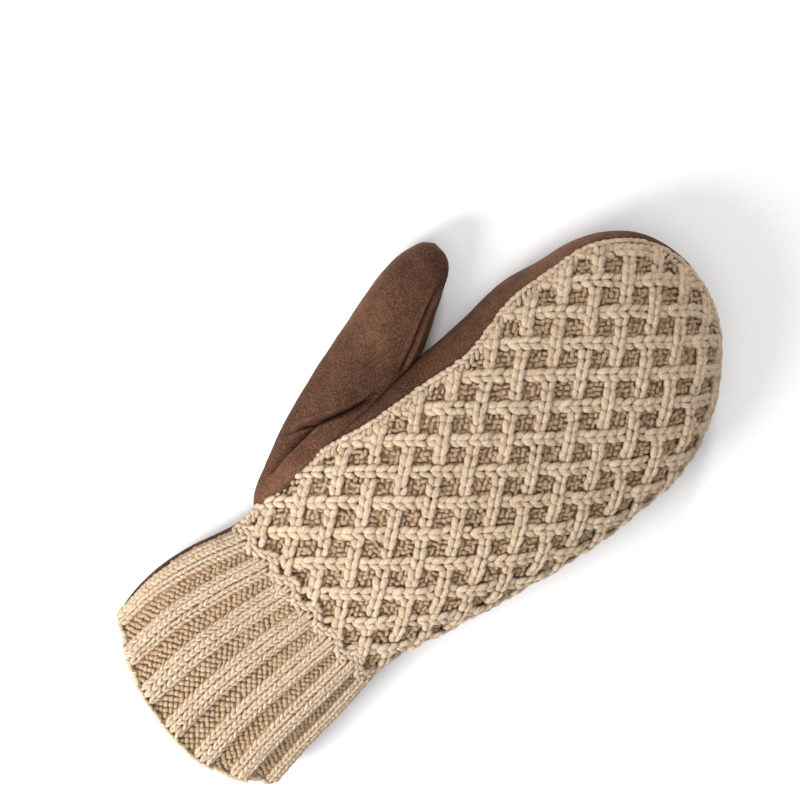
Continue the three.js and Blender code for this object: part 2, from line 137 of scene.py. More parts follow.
def curve_value(keys, values, place):
    """A smooth curve through the rows of one column of a table."""
    keys = np.asarray(keys, float)
    values = np.asarray(values, float)
    last = len(keys) - 2
    i = np.clip(np.searchsorted(keys, place, side="left") - 1, 0, last)
    before = np.maximum(i - 1, 0)
    after = np.minimum(i + 2, last + 1)
    span = keys[i + 1] - keys[i]
    slope_in = (values[i + 1] - values[before]) / (keys[i + 1] - keys[before]) * span
    slope_out = (values[after] - values[i]) / (keys[after] - keys[i]) * span
    t = np.clip((place - keys[i]) / span, 0, 1)
    rise = values[i + 1] - values[i]
    return values[i] + t * (slope_in + t * (3 * rise - 2 * slope_in - slope_out + t * (slope_in + slope_out - 2 * rise)))


SECTION_Y = [row[1] * (CUFF_SIDE if row[1] < 0 else TIP_CENTRE) for row in SECTIONS]


def section(column, y):
    return curve_value(SECTION_Y, [row[column] for row in SECTIONS], y)


class Spokes:
    """Half cuts: each runs from the middle of the hand or thumb out to one edge."""

    def __init__(self, centre, way, length, bow, lift, top, seam, side, y, cut):
        self.centre, self.way, self.length, self.bow = centre, way, length, bow
        self.lift, self.top, self.seam, self.side, self.y, self.cut = lift, top, seam, side, y, cut


def side_spokes(side, y):
    side, y = np.broadcast_arrays(np.asarray(side, float), np.asarray(y, float))
    zero = np.zeros_like(y)
    thumb = side < 0
    down = np.clip(-y / CUFF_SIDE, 0, 1)
    return Spokes(
        np.stack([zero, y], -1),
        np.stack([side, zero], -1),
        HALF * np.where(thumb, section(2, y), section(3, y)),
        HEM_BOW * down**1.5,
        WRIST_LIFT * np.maximum(section(5, y), 0),
        HAND_HEIGHT * section(4, y),
        np.where(thumb, section(6, y), section(7, y)),
        side,
        y,
        HAND_CUT,
    )


def tip_spokes(turn):
    turn = np.asarray(turn, float)
    turns = [row[0] for row in TIP]
    angle = np.radians(turn)
    zero = np.zeros_like(turn)
    return Spokes(
        np.stack([zero, zero + TIP_CENTRE], -1),
        np.stack([np.cos(angle), np.sin(angle)], -1),
        HALF * curve_value(turns, [row[1] for row in TIP], turn),
        zero,
        zero,
        zero + HAND_HEIGHT * SECTIONS[-1][4],
        curve_value(turns, [row[2] for row in TIP], turn),
        np.where(turn > 90, -1.0, 1.0),
        zero + TIP_CENTRE,
        HAND_CUT,
    )


def pick(spokes, chosen, other):
    """Spokes taken from one set where chosen, from the other elsewhere."""
    fields = {}
    for key, value in vars(spokes).items():
        if key == "cut":
            fields[key] = value
            continue
        mask = chosen[..., None] if value.ndim > chosen.ndim else chosen
        fields[key] = np.where(mask, value, vars(other)[key])
    return Spokes(**fields)


def joined(*sets):
    fields = {key: np.concatenate([vars(s)[key] for s in sets]) for key in vars(sets[0]) if key != "cut"}
    return Spokes(**fields, cut=sets[0].cut)


def thumb_spokes(side, at):
    side, at = np.broadcast_arrays(np.asarray(side, float), np.asarray(at, float))
    keys = [row[1] for row in THUMB_SECTIONS]
    column = lambda k: curve_value(keys, [row[k] for row in THUMB_SECTIONS], at)
    along = at * THUMB_LENGTH
    centre = np.stack(
        [THUMB_ROOT[0] - along * math.sin(THUMB_SPLAY), THUMB_ROOT[1] + along * math.cos(THUMB_SPLAY)], -1
    )
    way = np.stack([side * math.cos(THUMB_SPLAY), side * math.sin(THUMB_SPLAY)], -1)
    zero = np.zeros_like(at)
    corner = np.where(side > 0, THUMB_CORNER, -0.08) * smooth_step((at - 0.87) / 0.1)
    return Spokes(
        centre, way, THUMB_WIDTH / 2 * column(2) * (1 + corner), zero, THUMB_HEIGHT * column(3), THUMB_HEIGHT * column(4),
        zero, side, at, THUMB_CUT,
    )


def skin(spokes, q, inset=0.0):
    """Points of the skin. q runs along the flat underside from 0 to 1, round the lower edge from 1 to 2 and
    over the crown from 2 to 3. q and inset have one more axis than the spokes."""
    flat, widest, crown = spokes.cut
    q = np.asarray(q, float)
    inset = np.broadcast_to(np.asarray(inset, float), q.shape)
    length = spokes.length[..., None] - inset
    floor = spokes.lift[..., None] + inset
    top = spokes.top[..., None]
    belly = spokes.lift[..., None] + (top - spokes.lift[..., None]) * widest
    a = np.clip(q - 1, 0, 1) * math.pi / 2
    b = np.clip(q - 2, 0, 1) * math.pi / 2
    round_out = np.where(q >= 3, 0, np.maximum(np.cos(b), 0) ** (2 / crown))
    out = np.where(q < 1, flat * q, np.where(q < 2, flat + (1 - flat) * np.sin(a), round_out))
    z_low = np.where(q < 1, floor, belly - (belly - floor) * np.cos(a))
    z = np.where(q < 2, z_low, belly + (top - inset - belly) * np.sin(b) ** (2 / crown))
    reach = length * out
    x = spokes.centre[..., 0:1] + spokes.way[..., 0:1] * reach
    fall = 1 - np.where(spokes.side[..., None] < 0, HEM_SWEEP * out**2.6, out * out)
    y = spokes.centre[..., 1:2] + spokes.way[..., 1:2] * reach - spokes.bow[..., None] * fall
    return np.stack([x, y, z], -1)


def knit_seam(spokes):
    flat, widest, crown = spokes.cut
    share = np.clip((spokes.seam - widest) / (1 - widest), 0, 1)
    above = 2 + np.arcsin(share ** (crown / 2)) / (math.pi / 2)
    below = 1 + np.arccos(np.clip(1 - spokes.seam / widest, -1, 1)) / (math.pi / 2)
    return np.where(spokes.seam > widest, above, below)


def palm_seam(spokes):
    flat = spokes.cut[0]
    out = 1 - PALM_INSET / spokes.length
    turned = 1 + np.arcsin(np.clip((out - flat) / (1 - flat), 0, 1)) / (math.pi / 2)
    return np.where(out < flat, out / flat, turned)


def spread(low, high, count):
    """Evenly spaced numbers between two arrays, on a new last axis."""
    low, high = np.broadcast_arrays(np.asarray(low, float), np.asarray(high, float))
    return low[..., None] + (high - low)[..., None] * np.linspace(0, 1, count + 1)


def smooth_step(x):
    x = np.clip(x, 0, 1)
    return x * x * (3 - 2 * x)


def unit(vectors):
    return vectors / np.maximum(np.linalg.norm(vectors, axis=-1, keepdims=True), 1e-9)


def arc_lengths(points):
    steps = np.linalg.norm(np.diff(points, axis=-2), axis=-1)
    return np.concatenate([np.zeros_like(steps[..., :1]), np.cumsum(steps, axis=-1)], -1)


def waves(points, wavelength, seed, count=7):
    """Smooth unevenness between about -1 and 1, from plane waves in chosen directions."""
    rng = np.random.default_rng(seed)
    total = np.zeros(points.shape[:-1])
    for _ in range(count):
        way = unit(rng.normal(size=3))
        total += np.sin(points @ way * (2 * math.pi / (wavelength * rng.uniform(0.75, 1.4))) + rng.uniform(0, 6.28))
    return total / math.sqrt(count / 2) / 1.6


# Meshes

def to_frame(points):
    return (points + np.array([ORIGIN[0], ORIGIN[1], 0.0])) * MM


def mesh_object(name, points, faces, material, smooth=True):
    mesh = bpy.data.meshes.new(name)
    mesh.from_pydata(to_frame(points).tolist(), [], faces)
    mesh.materials.append(material)
    mesh.polygons.foreach_set("use_smooth", [smooth] * len(mesh.polygons))
    mesh.update()
    made = bpy.data.objects.new(name, mesh)
    bpy.context.collection.objects.link(made)
    return made


def add_attribute(made, name, values):
    values = np.asarray(values, np.float32)
    kind, field = ("FLOAT", "value") if values.ndim == 1 else ("FLOAT_VECTOR", "vector")
    attribute = made.data.attributes.new(name, kind, "POINT")
    attribute.data.foreach_set(field, values.ravel())


def grid_faces(rows, columns, start=0, flip=False):
    index = start + np.arange(rows * columns).reshape(rows, columns)
    corners = [index[:-1, :-1], index[:-1, 1:], index[1:, 1:], index[1:, :-1]]
    if flip:
        corners.reverse()
    return np.stack(corners, -1).reshape(-1, 4)


def sheet(name, outer, inner, material, walled=("first", "last", "start", "end"), keep=None, painted_shade=None):
    """A panel with thickness from two grids, walled along the named sides. The last grid, if given, is painted
    shade: how dark the seams and creases are made."""
    rows, columns = outer.shape[:2]
    count = rows * columns
    faces = [grid_faces(rows, columns), grid_faces(rows, columns, count, True)]
    index = np.arange(count).reshape(rows, columns)
    borders = {
        "first": index[:, 0],
        "last": index[::-1, -1],
        "start": index[0, ::-1],
        "end": index[-1, :],
    }
    for side in walled:
        line = borders[side]
        faces.append(np.stack([line[:-1], line[1:], line[1:] + count, line[:-1] + count], -1))
    faces = np.concatenate(faces)
    points = np.concatenate([outer.reshape(-1, 3), inner.reshape(-1, 3)])
    if keep is not None:
        kept = np.concatenate([keep.ravel(), keep.ravel()])
        faces = faces[kept[faces].all(axis=1)]
    made = mesh_object(name, points, faces.tolist(), material)
    if painted_shade is not None:
        add_attribute(made, "painted_shade", np.concatenate([painted_shade.ravel(), painted_shade.ravel()]))
    bpy.context.view_layer.objects.active = made
    work = bmesh.new()
    work.from_mesh(made.data)
    bmesh.ops.remove_doubles(work, verts=work.verts, dist=0.00002)
    bmesh.ops.dissolve_degenerate(work, edges=work.edges, dist=0.00001)
    loose = [v for v in work.verts if not v.link_faces]
    bmesh.ops.delete(work, geom=loose, context="VERTS")
    bmesh.ops.recalc_face_normals(work, faces=work.faces)
    work.to_mesh(made.data)
    work.free()
    made.data.polygons.foreach_set("use_smooth", [True] * len(made.data.polygons))
    made.data.set_sharp_from_angle(angle=math.radians(50))
    return made


# Materials

def new_material(name):
    material = bpy.data.materials.new(name)
    material.use_nodes = True
    nodes = material.node_tree.nodes
    nodes.clear()
    shader = nodes.new("ShaderNodeBsdfPrincipled")
    output = nodes.new("ShaderNodeOutputMaterial")
    material.node_tree.links.new(shader.outputs[0], output.inputs[0])
    return material, shader


def node(material, kind, inputs=None, **settings):
    made = material.node_tree.nodes.new(kind)
    for key, value in settings.items():
        setattr(made, key, value)
    for key, value in (inputs or {}).items():
        if isinstance(value, bpy.types.NodeSocket):
            material.node_tree.links.new(value, made.inputs[key])
        else:
            made.inputs[key].default_value = value
    return made


def noise(material, vector, scale, detail=4.0, roughness=0.55):
    return node(
        material, "ShaderNodeTexNoise", {"Vector": vector, "Scale": scale, "Detail": detail, "Roughness": roughness}
    ).outputs["Fac"]


def mix_colour(material, factor, one, two, blend="MIX"):
    made = node(material, "ShaderNodeMix", data_type="RGBA", blend_type=blend)
    for index, value in ((0, factor), (6, one), (7, two)):
        if isinstance(value, bpy.types.NodeSocket):
            material.node_tree.links.new(value, made.inputs[index])
        else:
            made.inputs[index].default_value = value
    return made.outputs[2]


def ramp(material, factor, stops):
    made = node(material, "ShaderNodeValToRGB", {"Fac": factor})
    elements = made.color_ramp.elements
    while len(elements) < len(stops):
        elements.new(0.5)
    for element, (place, colour) in zip(elements, stops):
        element.position = place
        element.color = (*colour, 1)
    return made.outputs["Color"]


def math_node(material, operation, one, two=0.0):
    return node(material, "ShaderNodeMath", {0: one, 1: two}, operation=operation).outputs[0]


def bump(material, height, strength, distance, normal=None):
    inputs = {"Height": height, "Strength": strength, "Distance": distance}
    if normal is not None:
        inputs["Normal"] = normal
    return node(material, "ShaderNodeBump", inputs).outputs[0]


def place(material):
    return node(material, "ShaderNodeTexCoord").outputs["Object"]


# Colours of the leather and of the wool, in linear light
HIDE_DARK = (0.034, 0.0135, 0.007)
HIDE_MID = (0.084, 0.035, 0.0185)
HIDE_WORN = (0.170, 0.077, 0.042)
HIDE_SPECK = (0.31, 0.165, 0.105)
# Near black painted into the leather's seams and creases: painted shade
HIDE_PAINTED_SHADE = (0.012, 0.005, 0.003)
WOOL_LIGHT = (0.73, 0.562, 0.398)
WOOL_MID = (0.42, 0.285, 0.175)
# Painted shade on the yarn's lobe flanks and between the ground's bumps
WOOL_PAINTED_SHADE = (0.19, 0.105, 0.053)
# The purl bumps' wool is the same yarn coloured darker and redder: painted shade of the cells and furrows the bumps
# lie in
PURL_LIGHT = (0.58, 0.402, 0.247)
PURL_MID = (0.39, 0.255, 0.149)
# Painted shade on the purl bumps' flanks
PURL_PAINTED_SHADE = (0.15, 0.083, 0.043)


def leather_material():
    material, shader = new_material("brushed_leather")
    where = place(material)
    patches = noise(material, where, 27.0, 3.0, 0.5)
    streaks = noise(material, where, 190.0, 5.0, 0.65)
    blend = math_node(material, "MULTIPLY", patches, 0.72)
    blend = math_node(material, "ADD", blend, math_node(material, "MULTIPLY", streaks, 0.28))
    colour = ramp(material, blend, ((0.36, HIDE_DARK), (0.50, HIDE_MID), (0.66, HIDE_WORN)))
    cells = node(material, "ShaderNodeTexVoronoi", {"Vector": where, "Scale": 1250.0}).outputs["Distance"]
    specks = noise(material, where, 1750.0, 4.0, 0.75)
    dark = node(material, "ShaderNodeMapRange", {"Value": specks, "From Min": 0.54, "From Max": 0.36, "To Max": 0.6})
    light = node(material, "ShaderNodeMapRange", {"Value": specks, "From Min": 0.49, "From Max": 0.70, "To Max": 0.5})
    colour = mix_colour(material, dark.outputs[0], colour, (*HIDE_DARK, 1))
    colour = mix_colour(material, light.outputs[0], colour, (*HIDE_SPECK, 1))
    # Painted shade: seams and creases are mixed towards near black by each panel's shade grid
    painted_shade = node(material, "ShaderNodeAttribute", attribute_name="painted_shade").outputs["Fac"]
    colour = mix_colour(material, painted_shade, colour, (*HIDE_PAINTED_SHADE, 1))
    material.node_tree.links.new(colour, shader.inputs["Base Color"])
    rough = node(
        material, "ShaderNodeMapRange", {"Value": patches, "From Min": 0.3, "From Max": 0.7, "To Min": 0.78, "To Max": 0.62}
    )
    material.node_tree.links.new(rough.outputs[0], shader.inputs["Roughness"])
    fine = bump(material, cells, 0.45, 0.00035)
    relief = bump(material, specks, 0.5, 0.0004, fine)
    material.node_tree.links.new(relief, shader.inputs["Normal"])
    shader.inputs["Specular IOR Level"].default_value = 0.12
    return material


def wool_material(name, light, deep, hollow):
    """Wool of lobes: fibres run along each lobe, by the yarn attribute (along, round, chance), and the flanks
    of each lobe are painted darker by the crest attribute: painted shade where the lobes sink in and meet."""
    material, shader = new_material(name)
    yarn = node(material, "ShaderNodeAttribute", attribute_name="yarn").outputs["Vector"]
    crest = node(material, "ShaderNodeAttribute", attribute_name="crest").outputs["Fac"]
    along, around, chance = node(material, "ShaderNodeSeparateXYZ", {"Vector": yarn}).outputs
    twist = math_node(material, "ADD", math_node(material, "MULTIPLY", along, 0.9), around)
    fibre_place = node(
        material,
        "ShaderNodeCombineXYZ",
        {
            "X": math_node(material, "MULTIPLY", along, 0.28),
            "Y": math_node(material, "MULTIPLY", twist, 1.3),
            "Z": math_node(material, "MULTIPLY", chance, 40.0),
        },
    ).outputs[0]
    fibres = noise(material, fibre_place, 2.2, 3.0, 0.6)
    where = place(material)
    patch = noise(material, where, 55.0, 3.0, 0.5)
    fuzz = noise(material, where, 1500.0, 4.0, 0.7)
    tone = math_node(material, "MULTIPLY", fibres, 0.78)
    tone = math_node(material, "ADD", tone, math_node(material, "MULTIPLY", fuzz, 0.27))
    tone = math_node(material, "ADD", tone, math_node(material, "MULTIPLY", patch, 0.1))
    tone = math_node(material, "ADD", tone, math_node(material, "MULTIPLY", chance, 0.05))
    colour = ramp(material, tone, ((0.46, deep), (0.65, light)))
    # Painted shade: the low flanks of each lobe, by its crest height, are mixed towards the shade colour
    flank_shade = node(material, "ShaderNodeMapRange", {"Value": crest, "From Min": 0.5, "From Max": -0.3, "To Max": 0.75})
    colour = mix_colour(material, flank_shade.outputs[0], colour, (*hollow, 1))
    material.node_tree.links.new(colour, shader.inputs["Base Color"])
    coarse = bump(material, fibres, 1.0, 0.0008)
    relief = bump(material, fuzz, 0.7, 0.0005, coarse)
    material.node_tree.links.new(relief, shader.inputs["Normal"])
    shader.inputs["Roughness"].default_value = 0.95
    shader.inputs["Sheen Weight"].default_value = 0.12
    shader.inputs["Sheen Roughness"].default_value = 0.6
    shader.inputs["Specular IOR Level"].default_value = 0.1
    return material


def ground_material():
    material, shader = new_material("wool_ground")
    where = place(material)
    bumps = node(material, "ShaderNodeTexVoronoi", {"Vector": where, "Scale": 520.0}).outputs["Distance"]
    fibres = noise(material, where, 1400.0, 4.0, 0.6)
    # Painted shade: the ground is coloured far darker than the yarn, darkest between its bumps, for the shade deep in
    # the knit
    colour = ramp(material, bumps, ((0.1, PURL_MID), (0.75, WOOL_PAINTED_SHADE)))
    material.node_tree.links.new(colour, shader.inputs["Base Color"])
    relief = bump(material, fibres, 0.5, 0.0003, bump(material, bumps, 0.7, 0.0007))
    material.node_tree.links.new(relief, shader.inputs["Normal"])
    shader.inputs["Roughness"].default_value = 0.95
    shader.inputs["Specular IOR Level"].default_value = 0.2
    return material


def floor_material():
    material, shader = new_material("paper_floor")
    grain = noise(material, place(material), 600.0, 2.0, 0.5)
    colour = ramp(material, grain, ((0.3, (0.93, 0.93, 0.93)), (0.7, (0.96, 0.96, 0.96))))
    material.node_tree.links.new(colour, shader.inputs["Base Color"])
    shader.inputs["Roughness"].default_value = 0.9
    return material


def thread_material():
    material, shader = new_material("brown_thread")
    where = place(material)
    colour = ramp(material, noise(material, where, 900.0), ((0.3, (0.030, 0.016, 0.012)), (0.7, (0.07, 0.04, 0.03))))
    material.node_tree.links.new(colour, shader.inputs["Base Color"])
    material.node_tree.links.new(bump(material, noise(material, where, 3000.0), 0.4, 0.0002), shader.inputs["Normal"])
    shader.inputs["Roughness"].default_value = 0.7
    return material


LEATHER_LOOK = leather_material()
WOOL_LOOK = wool_material("wool_yarn", WOOL_LIGHT, WOOL_MID, WOOL_PAINTED_SHADE)
# A darker copy of the yarn: painted shade of the recessed cells and furrows
PURL_LOOK = wool_material("wool_purl", PURL_LIGHT, PURL_MID, PURL_PAINTED_SHADE)
GROUND_LOOK = ground_material()
THREAD_LOOK = thread_material()


def place_piece(piece, slot, *replaced):
    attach(piece, "root")
    if replaced:
        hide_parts(*replaced)


# The yarn: lobes laid on the knit's skin

def lobe_template(rings, sides, bend):
    """A grain-shaped lobe of unit half sizes along x, with its ends bent down."""
    points = []
    yarn = []
    for x in np.linspace(-1, 1, rings + 2)[1:-1]:
        radius = (1 - abs(x) ** 2.4) ** 0.55
        for k in range(sides):
            angle = 2 * math.pi * k / sides
            points.append((x, radius * math.cos(angle), radius * math.sin(angle) - bend * x * x))
            yarn.append((x, angle))
    faces = []
    for r in range(rings - 1):
        for k in range(sides):
            a, b = r * sides + k, r * sides + (k + 1) % sides
            faces.append((a, b, b + sides, a + sides))
    points += [(-1, 0, -bend), (1, 0, -bend)]
    yarn += [(-1, 0), (1, 0)]
    low, high = len(points) - 2, len(points) - 1
    top = (rings - 1) * sides
    for k in range(sides):
        faces.append((low, (k + 1) % sides, k, low))
        faces.append((high, top + k, top + (k + 1) % sides, high))
    return np.array(points), np.array(yarn), np.array(faces)


def lobes(name, centres, along, normals, sizes, template, material, seed):
    """One mesh of many lobes: sizes holds each one's half length, half width and half height."""
    shape, yarn, faces = template
    rng = np.random.default_rng(seed)
    along = unit(along)
    across = unit(np.cross(normals, along))
    normals = np.cross(along, across)
    local = shape[None] * sizes[:, None, :]
    points = (
        centres[:, None]
        + local[..., 0:1] * along[:, None]
        + local[..., 1:2] * across[:, None]
        + local[..., 2:3] * normals[:, None]
    )
    count = len(shape)
    starts = np.arange(len(centres))[:, None, None] * count
    all_faces = (faces[None] + starts).reshape(-1, 4)
    listed = [tuple(dict.fromkeys(face)) for face in all_faces.tolist()]
    made = mesh_object(name, points.reshape(-1, 3), listed, material)
    chance = np.repeat(rng.uniform(size=len(centres)), count)
    lengths = (yarn[None, :, 0] * sizes[:, 0:1] + rng.uniform(0, 50, (len(centres), 1))).ravel()
    rounds = np.tile(yarn[:, 1], len(centres))
    add_attribute(made, "yarn", np.stack([lengths, rounds, chance], -1))
    # crest is each point's height on its lobe, from which the wool materials paint shade on the flanks
    add_attribute(made, "crest", np.tile(shape[:, 2] + yarn[:, 0] ** 2 * 0.1, len(centres)))
    return made


BIG_LOBE = lobe_template(7, 9, 0.28)
SMALL_LOBE = lobe_template(5, 7, 0.35)
ARC_STEPS = 36


def back_spokes(u, v):
    """The spoke under each place of the flat knit, and how far out along it the place is."""
    beyond = v - TIP_CENTRE
    turned = tip_spokes(np.degrees(np.arctan2(np.maximum(beyond, 1e-6), u)))
    straight = side_spokes(np.where(u < 0, -1, 1), np.minimum(v, TIP_CENTRE))
    past = beyond > 0
    return pick(turned, past, straight), np.where(past, np.hypot(u, beyond), np.abs(u))


def back_points(u, v, inset):
    """Places on the knitted back as if the knit lay flat: u across from the middle, v along the hand. Gives
    the points and how far each is from the seam, over the skin."""
    spokes, distance = back_spokes(u, v)
    q = spread(np.full_like(u, 3.0), knit_seam(spokes), ARC_STEPS)
    line = skin(spokes, q)
    walked = arc_lengths(line)
    k = np.clip((walked < distance[:, None]).sum(-1), 1, ARC_STEPS)
    rows = np.arange(len(u))
    t = (distance - walked[rows, k - 1]) / np.maximum(walked[rows, k] - walked[rows, k - 1], 1e-6)
    found = q[rows, k - 1] + (q[rows, k] - q[rows, k - 1]) * np.clip(t, 0, 1.0)
    points = skin(spokes, found[:, None], np.broadcast_to(inset, u.shape)[:, None])[:, 0]
    return points, walked[:, -1] - distance


def back_frames(u, v, way, inset):
    """Centres, directions along way and normals for lobes on the back."""
    step = 0.8
    centre, to_seam = back_points(u, v, inset)
    ahead, _ = back_points(u + way[:, 0] * step, v + way[:, 1] * step, inset)
    behind, _ = back_points(u - way[:, 0] * step, v - way[:, 1] * step, inset)
    left, _ = back_points(u - way[:, 1] * step, v + way[:, 0] * step, inset)
    right, _ = back_points(u + way[:, 1] * step, v - way[:, 0] * step, inset)
    along = unit(ahead - behind)
    normal = unit(np.cross(along, left - right))
    return centre, along, normal, to_seam


LATTICE_PITCH = math.hypot(LATTICE_ACROSS, LATTICE_ALONG)
STITCH = LATTICE_PITCH / 3
LEG_OFF = 1.2
LEG_SIZE = (3.3, 1.47, 1.5)
LEG_LEANS = (math.radians(18), math.radians(11))
LEG_RISE = 0.12
BAR_REACH = 2.5 * STITCH
BAR_TOP = 1.05
BAR_SINK = 1.9


def make_strands(name, flip):
    """The raised bars of one direction. Each bar is a row of stitches of two legs, lies over the crossing bar
    at its middle and dips under the next ones at its ends."""
    rng = np.random.default_rng(11 + flip)
    way = np.array([LATTICE_ACROSS * (-1 if flip else 1), LATTICE_ALONG]) / LATTICE_PITCH
    side = np.array([-way[1], way[0]])
    most = 24
    legs = []
    for i in range(-most, most + 1):
        for j in range(-most, most + 1):
            if (i + j) % 2 == int(flip):
                continue
            cu = LATTICE_START[0] + (i - j) * LATTICE_ACROSS
            cv = LATTICE_START[1] + (i + j) * LATTICE_ALONG
            for k in range(-2, 3):
                for leg in (-1, 1):
                    legs.append((cu + way[0] * k * STITCH, cv + way[1] * k * STITCH, k * STITCH / BAR_REACH, leg))
    u, v, s, leg = np.array(legs).T
    off = LEG_OFF * leg + rng.normal(0, 0.12, len(u))
    ahead = rng.normal(0, 0.3, len(u))
    u = u + side[0] * off + way[0] * ahead
    v = v + side[1] * off + way[1] * ahead
    reach = np.hypot(u, np.maximum(v - TIP_CENTRE, 0))
    keep = (v > LATTICE_FOOT) & (reach < HAND_WIDTH)
    u, v, s, leg = u[keep], v[keep], s[keep], leg[keep]
    lean = (LEG_LEANS[int(flip)] + rng.normal(0, 0.07, len(u))) * leg
    tilt = np.stack([way[0] * np.cos(lean) - way[1] * np.sin(lean), way[0] * np.sin(lean) + way[1] * np.cos(lean)], -1)
    centre, along, normal, to_seam = back_frames(u, v, tilt, BAR_TOP + BAR_SINK * np.abs(s) ** 3.5)
    along = along + normal * (LEG_RISE - 0.16 * s)[:, None]
    keep = to_seam > 2.0
    size = np.array(LEG_SIZE) * (1 + rng.normal(0, 0.07, (len(u), 3)))
    made = lobes(name, centre[keep], along[keep], normal[keep], size[keep], BIG_LOBE, WOOL_LOOK, 21 + flip)
    place_piece(made, "wool_knit", "knit_back")
    return made


WALE = 2.6
ROW = 2.0
LATTICE_FOOT = 4.0


def lattice_depth(u, v):
    """How far each place is from the nearest bar of the lattice, across the bar."""
    near = np.full_like(u, 99.0)
    for flip in (False, True):
        way = np.array([LATTICE_ACROSS * (-1 if flip else 1), LATTICE_ALONG]) / LATTICE_PITCH
        off = (u - LATTICE_START[0]) * -way[1] + (v - LATTICE_START[1]) * way[0]
        gap = abs(2 * LATTICE_ACROSS * LATTICE_ALONG) / LATTICE_PITCH
        near = np.minimum(near, np.abs((off + gap / 2) % gap - gap / 2))
    return near


def make_purls():
    """Purl bumps in the lattice's cells, in rows across the hand, and along the knit's edge."""
    rng = np.random.default_rng(5)
    rows = np.arange(1.2, HAND_LENGTH + 8, ROW)
    columns = np.arange(-HAND_WIDTH, HAND_WIDTH, WALE)
    v, u = (grid.ravel() for grid in np.meshgrid(rows, columns, indexing="ij"))
    u = u + np.where((np.round(v / ROW) % 2) > 0, WALE / 2, 0) + rng.normal(0, 0.3, len(u))
    v = v + rng.normal(0, 0.25, len(v))
    reach = np.hypot(u, np.maximum(v - TIP_CENTRE, 0))
    keep = reach < HAND_WIDTH
    u, v = u[keep], v[keep]
    _, to_seam = back_points(u, v, 0.0)
    keep = (to_seam > 3.2) & ((lattice_depth(u, v) > 1.8) | (to_seam < 5) | (v < 4))
    u, v, to_seam = u[keep], v[keep], to_seam[keep]
    lean = math.pi / 2 + np.where(np.round(u / WALE * 2) % 2 > 0, 0.65, -0.65) + rng.normal(0, 0.25, len(u))
    way = np.stack([np.cos(lean), np.sin(lean)], -1)
    rise = 3.05 - 1.8 * np.exp(-((to_seam / 6.0) ** 2)) + rng.normal(0, 0.15, len(u))
    centre, along, normal, _ = back_frames(u, v, way, rise)
    size = np.array([1.8, 0.93, 1.2]) * (1 + rng.normal(0, 0.12, (len(u), 3)))
    made = lobes("knit_purls", centre, along, normal, size, SMALL_LOBE, PURL_LOOK, 31)
    place_piece(made, "wool_knit", "knit_back")


def round_spokes(low, side_step, turns, extra=()):
    ys = np.sort(np.append(np.linspace(low, TIP_CENTRE, side_step), extra))
    turn = np.linspace(180, 0, turns)[1:-1]
    return joined(side_spokes(-1, ys), tip_spokes(turn), side_spokes(1, ys[::-1]))


def make_knit_ground():
    spokes = round_spokes(0.0, 70, 80)
    q = spread(knit_seam(spokes), 3.0, 36)
    edge = arc_lengths(skin(spokes, q))
    outer = skin(spokes, q, 3.3 - 1.6 * np.exp(-((edge / 4.0) ** 2)))
    inner = skin(spokes, q, KNIT)
    made = sheet("knit_ground", outer, inner, GROUND_LOOK, ("first", "start", "end"))
    place_piece(made, "wool_knit", "knit_back")


EDGE_STEP = 2.7
EDGE_ROWS = ((0.8, 0.22, 0.35), (2.5, -0.75, 1.2))


def make_knit_edge():
    """Rows of small stitches along the knit's edge: how far in from the seam, lean, inset."""
    rng = np.random.default_rng(6)
    spokes = round_spokes(1.0, 400, 520)
    q = spread(knit_seam(spokes), 3.0, 60)
    line = skin(spokes, q)
    walked = arc_lengths(line)
    along_seam = arc_lengths(line[:, 0][None])[0]
    rows = np.arange(len(q))
    parts = []
    for reach, lean, inset in EDGE_ROWS:
        k = np.clip((walked < reach).sum(-1), 1, 59)
        t = (reach - walked[rows, k - 1]) / (walked[rows, k] - walked[rows, k - 1])
        found = q[rows, k - 1] + (q[rows, k] - q[rows, k - 1]) * t
        centre = skin(spokes, found[:, None], inset)[:, 0]
        tangent = unit(np.gradient(centre, axis=0))
        inward = unit(skin(spokes, found[:, None] + 0.02, inset)[:, 0] - centre)
        picked = np.searchsorted(along_seam, np.arange(EDGE_STEP * (0.3 + len(parts) / 2), along_seam[-1], EDGE_STEP))
        normal = unit(np.cross(inward, tangent))
        turn = lean + rng.normal(0, 0.2, (len(picked), 1))
        parts.append((centre[picked], tangent[picked] * np.cos(turn) + inward[picked] * np.sin(turn), normal[picked]))
    centre, along, normal = (np.concatenate(values) for values in zip(*parts))
    size = np.array([2.5, 1.05, 1.3]) * (1 + rng.normal(0, 0.1, (len(centre), 3)))
    made = lobes("knit_edge", centre, along, normal, size, BIG_LOBE, WOOL_LOOK, 32)
    place_piece(made, "wool_knit", "knit_back")


# The ribbed cuff

def cuff_points(share, y, inset):
    """Places on the cuff: share of the way from the thumb side's seam to the pinky side's, and y."""
    halves = []
    for side in (-1, 1):
        spokes = side_spokes(np.full_like(y, side), y)
        q = spread(knit_seam(spokes), np.full_like(y, 3.0), ARC_STEPS)
        halves.append((spokes, q, arc_lengths(skin(spokes, q))))
    left, right = halves[0][2][:, -1], halves[1][2][:, -1]
    from_thumb = share * (left + right)
    use_left = from_thumb <= left
    distance = np.where(use_left, from_thumb, left + right - from_thumb)
    result = np.zeros((len(y), 3))
    for half, used in zip(halves, (use_left, ~use_left)):
        spokes, q, walked = half
        rows = np.arange(len(y))
        k = np.clip((walked < distance[:, None]).sum(-1), 1, ARC_STEPS)
        t = (distance - walked[rows, k - 1]) / np.maximum(walked[rows, k] - walked[rows, k - 1], 1e-6)
        found = q[rows, k - 1] + (q[rows, k] - q[rows, k - 1]) * t
        points = skin(spokes, found[:, None], np.broadcast_to(inset, y.shape)[:, None])[:, 0]
        result[used] = points[used]
    return result


